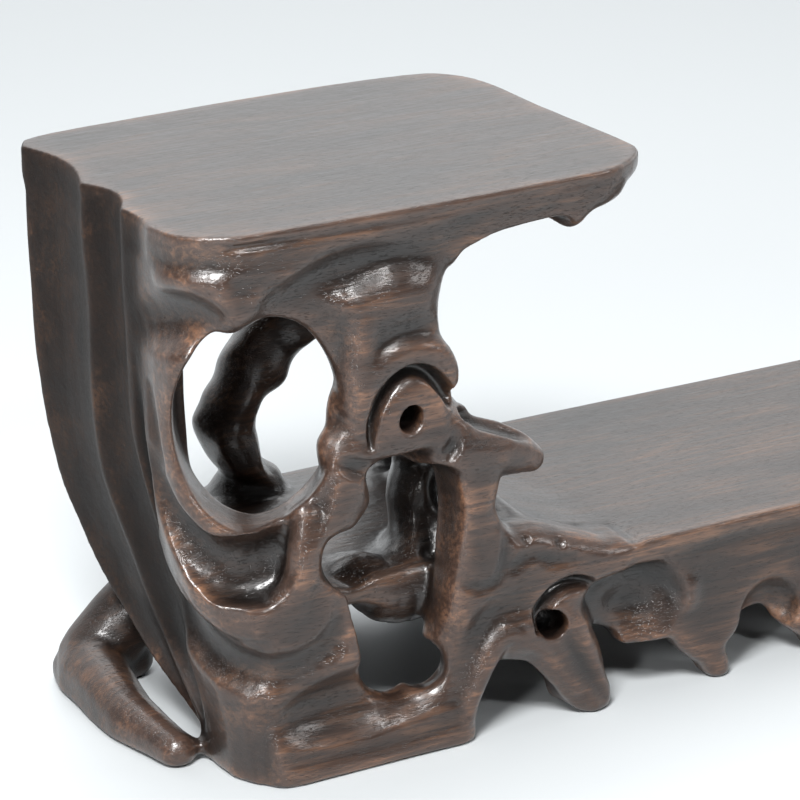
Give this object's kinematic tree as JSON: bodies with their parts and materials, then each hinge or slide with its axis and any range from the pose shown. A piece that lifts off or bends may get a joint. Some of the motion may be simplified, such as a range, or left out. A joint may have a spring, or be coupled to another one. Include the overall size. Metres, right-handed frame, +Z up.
{
  "type": "two-tier carved display stand",
  "caption": "Two-tier display stand in dark carved hardwood: a tall table on a pleated end wall and pierced root webs over one end of a long low platform with drip-shaped feet.",
  "frame": {"origin": "middle of the stand's bounding box at ground level", "axes": "+X along the stand from the tall end to the low end, +Y from the carved front to the back, +Z up"},
  "size_m": [0.284, 0.09, 0.12],
  "materials": {
    "board_wood": "satin wax polish, brown streaks along the length",
    "root_wood": "glossy wax polish on carved dark hardwood",
    "end_grain_wood": "satin wax polish, darker",
    "dowel_wood": "plain turned hardwood"
  },
  "bodies": {
    "root": {"upper_board": "board_wood", "end_wall": "end_grain_wood", "front_root": "root_wood", "rear_root": "root_wood", "rear_left_foot": "root_wood", "low_board": "board_wood", "front_apron": "root_wood", "rear_apron": "root_wood", "end_apron": "root_wood", "upper_dowels": "dowel_wood", "seam_dowels": "dowel_wood", "low_dowels": "dowel_wood"}
  },
  "joints": []
}
